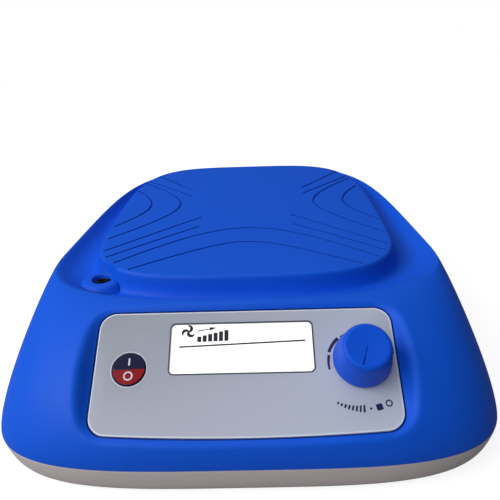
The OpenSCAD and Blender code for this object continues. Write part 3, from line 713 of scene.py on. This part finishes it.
# ---------- base cover ----------
def build_base():
    a = even_turns(420)
    profile = smooth_through([(4.9, FOOT_H), (3.8, 1.58), (2.9, 2.0), (2.1, 3.0), (1.35, 4.9), (0.8, 7.2),
                              (0.38, 9.6), (0.14, 11.6), (0.1, 12.5), (0.3, SEAM_LO)], 3)
    span = SEAM_LO - FOOT_H
    obj = loft("base_cover_shell", [ring(belly(BODY, d, (SEAM_LO - z) / span), z, a) for d, z in profile])
    b = even_turns(160, 1.0)
    cut(obj, loft("cutter", [ring(inset(BODY, 5.2), FLOOR_TOP, b), ring(inset(BODY, 4.6), SEAM_LO + 1, b)]))
    lip = loft("cutter", [ring(inset(BODY, 4.3), SEAM_LO - 2, b), ring(inset(BODY, 4.6), SEAM_LO + 2.4, b)])
    cut(lip, loft("cutter", [ring(inset(BODY, 5.9), FLOOR_TOP, b), ring(inset(BODY, 5.9), SEAM_LO + 4, b)]))
    cut(lip, block("cutter", (JACK_X - 14, 75, SEAM_LO), (JACK_X + 14, 95, SEAM_LO + 4)))
    add(obj, lip)
    for at in SCREWS:
        add(obj, post(5.2, FLOOR_TOP - 1, FLOOR_TOP + 3, at))
    for at in PCB_POSTS:
        add(obj, post(3, FLOOR_TOP - 1, 12, at, 32))
    add(obj, post(POST_R, FLOOR_TOP - 1, SOCKET_FOOT - 0.1, ROD_C, 48))
    for at in FEET:
        cut(obj, post(8.2, 0, FOOT_H + 1, at, 64))
    for at in SCREWS:
        counterbore = [(3.3, 0), (3.3, FLOOR_TOP + 0.4), (1.8, FLOOR_TOP + 0.401), (1.8, 12)]
        cut(obj, lathe("cutter", counterbore, at, 40))
    for at in PCB_POSTS:
        cut(obj, post(1.3, 6, 13, at, 24))
    for x in (-44, 44):
        for i in range(-3, 4):
            slot = rounded_rect(11, 1.3, 1.28) + [x, i * 7]
            rings = [np.column_stack([slot, np.full(len(slot), z)]) for z in (0, FLOOR_TOP + 1)]
            cut(obj, loft("cutter", rings))
    cut(obj, block("cutter", (-32, 30, 0), (32, 62, FOOT_H + 0.3)))
    return place(shade(obj, 34), "case", "grey_abs", replaces=("base_cover",))


# ---------- control panel ----------
def build_panel():
    obj = loft("panel_plate", [from_panel(panel_outline(g, z)) for g, z in (
        (0, -PANEL_T), (0, -0.32), (-0.06, -0.14), (-0.18, -0.04), (-0.34, 0))])
    # painted highlight: a pale band round the panel's edge stands for the light its rounded edge catches
    outer, inner = panel_outline(-0.16, 0)[:, :2], panel_outline(-0.62, 0)[:, :2]
    edge = frame_ring("panel_edge_highlight", outer, inner, -0.3, 0.05, WHOLE_PANEL)
    place(edge, "case", "ring_pale")
    window = rounded_rect(WINDOW[0] / 2, WINDOW[1] / 2, 2.2)
    cut(obj, prism_in_panel(window, -2, 1, WINDOW_C))
    for at, r in ((BUTTON_C, BUTTON_R + BUTTON_GAP), (KNOB_C, SHAFT_HOLE_R)):
        cut(obj, post(r, -2, 1, at, 96, panel=True))
    place(shade(obj, 30), "case", "panel_grey", replaces=("control_panel",))


def frame_ring(name, outer, inner, z0, z1, at):
    """Closed band on the panel between two outlines of equal length, shifted by at."""
    n = len(outer)
    rings = [(outer, z0), (outer, z1), (inner, z1), (inner, z0)]
    points = np.vstack([np.column_stack([r + at, np.full(n, z)]) for r, z in rings])
    faces = []
    for j in range(4):
        for i in range(n):
            a, b = j * n + i, j * n + (i + 1) % n
            c, d = ((j + 1) % 4) * n + (i + 1) % n, ((j + 1) % 4) * n + i
            faces.append([a, b, c, d])
    return make(name, from_panel(points), faces, smooth=False)


def build_display():
    x, y = WINDOW[0] / 2, WINDOW[1] / 2
    ring_obj = frame_ring("display_gasket", rounded_rect(x - 0.02, y - 0.02, 2.2, 12),
                          rounded_rect(x - 0.5, y - 0.5, 1.8, 12), -PANEL_T, 0.12, WINDOW_C)
    place(ring_obj, "case", "gasket_dark")
    face = rounded_rect(x - 0.52, y - 0.52, 1.78, 12)
    obj = prisms("display_face", [face], -PANEL_T, -0.3, WINDOW_C)
    place(bevel(obj, 0.05, 1), "case", "display_white")
    marks = [slanted_bar((-25.4, 32.5), (23.4, 34.15), 0.6)]
    for i in range(6):
        foot = 34.4 + 0.055 * i
        x0, top = -18.47 + 2.11 * i, 36.6 + 0.5 * i
        marks.append([(x0, foot), (x0 + 1.55, foot), (x0 + 1.55, top), (x0, top)])
    marks.append(slanted_bar((-18.6, 38.9), (-13.2, 39.82), 0.36))
    marks.append([(-13.6, 39.05), (-11.0, 40.2), (-13.8, 40.45)])
    marks += rotor_symbol((-22.0, 38.75), 2.5)
    obj = prisms("display_marks", marks, -0.3, -0.24)
    place(obj, "case", "print_dark")
    obj = prisms("display_cover", [face], -0.16, 0.02, WINDOW_C)
    place(bevel(obj, 0.05, 1), "case", "clear_lens", replaces=("display_lens",))


def slanted_bar(p, q, thick):
    """Bar of even thickness between two points."""
    p, q = np.array(p), np.array(q)
    across = np.array([p[1] - q[1], q[0] - p[0]]) / np.linalg.norm(q - p) * thick / 2
    return [p - across, q - across, q + across, p + across]


def circle_bands(at, r, w):
    """Ring drawn as two half bands of width w."""
    return [arc_band(at, 0, 178, r, w, w), arc_band(at, 182, 360, r, w, w)]


def rotor_symbol(at, size):
    """Three curved blades round a hub."""
    blades = []
    for k in range(3):
        turn = math.radians(120 * k + 95)
        outer, inner = [], []
        for i in range(13):
            t = i / 12
            a = math.pi * (1.02 * t)
            thick = 0.2 + 0.3 * math.sin(math.pi * min(t * 1.15, 1)) ** 0.8
            for line, r in ((outer, 0.5 + thick / 2), (inner, 0.5 - thick / 2)):
                line.append((0.5 - r * math.cos(a), -r * math.sin(a)))
        shape = [(size * x, size * y) for x, y in outer + inner[::-1]]
        blades.append(turned(shape, turn, at))
    return blades


def arc_band(at, a0, a1, r, w0, w1, turn_in=0.0, n=16):
    """Arc of growing width; turn_in is how much nearer the centre it ends."""
    a = np.radians(np.linspace(a0, a1, n))
    w = np.linspace(w0, w1, n) / 2
    r = r - turn_in * np.linspace(0, 1, n)
    outer = np.column_stack([(r + w) * np.cos(a), (r + w) * np.sin(a)])
    inner = np.column_stack([(r - w) * np.cos(a), (r - w) * np.sin(a)])
    return np.vstack([outer, inner[::-1]]) + at


def round_knob(r, degrees):
    """Point on the panel at radius r from the knob's axis."""
    a = math.radians(degrees)
    return (KNOB_C[0] + r * math.cos(a), KNOB_C[1] + r * math.sin(a))


def build_prints():
    """Generic marks round the knob: a widening arc with its arrow, ticks, a dot, a square and a ring."""
    spans = ((195.5, 169.5, 12.8, 0.95), (164.5, 132.5, 12.5, 1.25), (128, 96, 11.55, 1.3),
             (91, 62, 11.6, 1.4), (57, 30, 12.0, 1.6))
    marks = [arc_band(KNOB_C, a0, a1, r, w - 0.15, w + 0.15, turn_in=0.5) for a0, a1, r, w in spans]
    marks.append(turned([(-1.0, 0.9), (0.0, -1.9), (1.0, 0.9)], math.radians(18), round_knob(12.4, 18)))
    obj = prisms("knob_scale_print", marks, 0.0, 0.05)
    place(obj, "case", "print_navy")
    marks = []
    for i in range(8):
        degrees, high = 237 + 4.2 * i, 0.9 + 0.24 * i
        tick = [(-0.34, 0), (0.34, 0), (0.34, high), (-0.34, high)]
        marks.append(turned(tick, math.radians(degrees) + math.pi / 2, round_knob(19.5, degrees)))
    for degrees, shape in ((274, circle(0.42, 20, 0)[:, :2]), (284, rounded_rect(1.15, 1.15, 0.25, 4))):
        marks.append(turned(shape, math.radians(degrees) + math.pi / 2, round_knob(LEGEND_R, degrees)))
    marks += circle_bands(round_knob(LEGEND_R, 296), 1.05, 0.5)
    obj = prisms("knob_legend_print", marks, 0.0, 0.05)
    place(obj, "case", "print_navy")


def build_button():
    # the ring round the button is real; its pale colour all round is painted highlight
    outer, inner = circle(BUTTON_R + 0.62, 96, 0)[:, :2], circle(BUTTON_R + 0.28, 96, 0)[:, :2]
    ring_obj = frame_ring("button_rim_highlight", outer, inner, -0.4, 0.1, BUTTON_C)
    place(bevel(ring_obj, 0.04, 1), "case", "ring_pale")
    r = BUTTON_R
    side = [(1.5, -6.0), (1.5, -5.21), (7.6, -5.2), (7.6, -4.4), (r, -4.39), (r, -0.2), (r - 0.04, 0.1),
            (r - 0.2, 0.36), (r - 0.5, 0.52), (r - 0.9, 0.58)]
    cap = lathe("power_button_cap", side, BUTTON_C, 128, panel=True)
    place(shade(cap, 40), "power_key", "button_film", replaces=("power_button",))
    a = np.radians(np.linspace(2, 178, 60))
    inner, lean = r - 0.42, math.radians(2.4)
    upper = turned(zip(inner * np.cos(a), inner * np.sin(a)), lean, BUTTON_C)
    lower = turned(zip(inner * np.cos(a), -inner * np.sin(a)), lean, BUTTON_C)
    obj = prisms("power_button_upper", [upper], 0.5, 0.68)
    place(bevel(obj, 0.07, 2), "power_key", "button_film")
    obj = prisms("power_button_lower", [lower], 0.5, 0.68)
    place(bevel(obj, 0.07, 2), "power_key", "button_red")
    up, low = (BUTTON_C[0], BUTTON_C[1] + 2.75), (BUTTON_C[0], BUTTON_C[1] - 2.75)
    bar = rounded_rect(0.3, 1.45, 0.28, 4) + up
    obj = prisms("power_button_symbols", [bar] + circle_bands(low, 1.5, 0.55), 0.68, 0.73)
    place(obj, "power_key", "print_white")


def build_knob():
    top = KNOB_GAP + KNOB_H
    r0, r1 = KNOB_R, KNOB_TOP_R
    side = smooth_through([(r0 - 0.25, KNOB_GAP), (r0, KNOB_GAP + 0.3), (r0 - 0.02, KNOB_GAP + 1.3),
                           (r0 - 0.5, 5.5), (r0 - 1.1, 9.0), (r1 + 0.45, top - 2.4), (r1 + 0.12, top - 1.2),
                           (r1 - 0.3, top - 0.42), (r1 - 0.9, top - 0.06), (r1 - 1.6, top),
                           (r1 - 3.4, top - 0.16), (r1 - 6.0, top - 0.34), (0.1, top - 0.42)], 4)
    knob = lathe("speed_knob_shell", [tuple(p) for p in side], KNOB_C, 192, panel=True)
    cut(knob, lathe("cutter", [(r0 - 1.6, -1), (r0 - 1.6, 4.6)], KNOB_C, 96, panel=True))
    bore = lathe("cutter", [(3.02, 4), (3.02, 12.1)], KNOB_C, 64, panel=True)
    kx, ky = KNOB_C
    cut(bore, block("cutter", (kx - 4, ky + 1.52, 5), (kx + 4, ky + 4, 13), panel=True))
    cut(knob, bore)
    slot = [(-0.3, -7.2), (0.3, -7.2), (0.3, 0.2), (-0.3, 0.2)]
    low = turned([(0.4 * px, py) for px, py in slot], POINTER_LEAN, KNOB_C)
    high = turned([(1.6 * px, py) for px, py in slot], POINTER_LEAN, KNOB_C)
    cut(knob, loft("cutter", [from_panel([(px, py, z) for px, py in line])
                         for line, z in ((low, top - 0.7), (high, top + 0.4))]))
    place(shade(knob, 30), "knob_and_shaft", "knob_blue", replaces=("speed_knob",))


# ---------- room, lights and camera ----------
def lifted_white():
    """Pale paper that the camera sees brighter than it is lit, more so near its rim, so no edge shows."""
    m = finish_of("floor_paper", linear(160, 160, 162), 0.9, grain=300, bump=0.00001, tint=0.005,
                  specular=0.1)
    nodes, links = m.node_tree.nodes, m.node_tree.links
    away = nodes.new("ShaderNodeVectorMath")
    away.operation = "LENGTH"
    links.new(nodes.new("ShaderNodeNewGeometry").outputs["Position"], away.inputs[0])
    rise = ranged(nodes, links, away.outputs["Value"], *FLOOR_RISE, FLOOR_LIFT, 1)
    lift = product(nodes, links, rise, nodes.new("ShaderNodeLightPath").outputs["Is Camera Ray"])
    shader = nodes["Principled BSDF"]
    shader.inputs["Emission Color"].default_value = (1, 1, 1, 1)
    links.new(lift, shader.inputs["Emission Strength"])
    return m


def build_stage():
    n = FLOOR_POINTS
    x = np.linspace(-FLOOR_HALF, FLOOR_HALF, n)
    gx, gy = np.meshgrid(x, x)
    points = np.column_stack([gx.ravel(), gy.ravel(), np.zeros(n * n)])
    faces = [[j * n + i, j * n + i + 1, (j + 1) * n + i + 1, (j + 1) * n + i]
             for j in range(n - 1) for i in range(n - 1)]
    floor = make("floor", points, faces)
    floor.data.materials.append(lifted_white())


def area(name, at, target, size, power):
    light = bpy.data.lights.new(name, "AREA")
    light.shape = "RECTANGLE"
    light.size, light.size_y = size
    light.energy = power
    obj = bpy.data.objects.new(name, light)
    obj.location = Vector(at) + Vector(HOME * MM)
    obj.rotation_euler = (Vector(target) - Vector(at)).to_track_quat("-Z", "Y").to_euler()
    bpy.context.scene.collection.objects.link(obj)


def build_lights():
    world = bpy.data.worlds.new("studio")
    bpy.context.scene.world = world
    world.use_nodes = True
    nodes, links = world.node_tree.nodes, world.node_tree.links
    path = nodes.new("ShaderNodeLightPath")
    seen, lit = nodes["Background"], nodes.new("ShaderNodeBackground")
    seen.inputs["Color"].default_value = (1, 1, 1, 1)
    seen.inputs["Strength"].default_value = 1.0
    lit.inputs["Color"].default_value = WORLD_TONE
    lit.inputs["Strength"].default_value = WORLD_LIGHT
    mix = nodes.new("ShaderNodeMixShader")
    links.new(path.outputs["Is Camera Ray"], mix.inputs["Fac"])
    links.new(lit.outputs["Background"], mix.inputs[1])
    links.new(seen.outputs["Background"], mix.inputs[2])
    links.new(mix.outputs["Shader"], nodes["World Output"].inputs["Surface"])
    for light in LIGHTS:
        area(*light)


def build_camera():
    """Slightly right of centre, looking down at the panel."""
    data = bpy.data.cameras.new("camera")
    data.sensor_width = CAMERA_SENSOR
    data.lens = CAMERA_LENS
    data.clip_start = 0.01
    cam = bpy.data.objects.new("camera", data)
    bpy.context.scene.collection.objects.link(cam)
    turn = Matrix.Rotation(CAMERA_YAW, 3, "Z")
    look = turn @ Vector((0, math.cos(CAMERA_DOWN), -math.sin(CAMERA_DOWN)))
    up = turn @ Vector((0, math.sin(CAMERA_DOWN), math.cos(CAMERA_DOWN)))
    right = turn @ Vector((1, 0, 0))
    x = right * math.cos(CAMERA_ROLL) - up * math.sin(CAMERA_ROLL)
    y = up * math.cos(CAMERA_ROLL) + right * math.sin(CAMERA_ROLL)
    rotation = Matrix((x, y, -look)).transposed().to_4x4()
    cam.matrix_world = Matrix.Translation(Vector(CAMERA_AT) + Vector(HOME * MM)) @ rotation
    bpy.context.scene.camera = cam


build_housing()
build_base()
build_panel()
build_display()
build_prints()
build_button()
build_knob()
for name, node in frame["nodes"].items():  # the pieces the CAD still shows
    if not node.hide_render:
        node.data.materials.clear()
        node.data.materials.append(MAT[SLOT_OF[name]])
build_stage()
build_lights()
build_camera()
bpy.context.scene.view_settings.view_transform = "Standard"
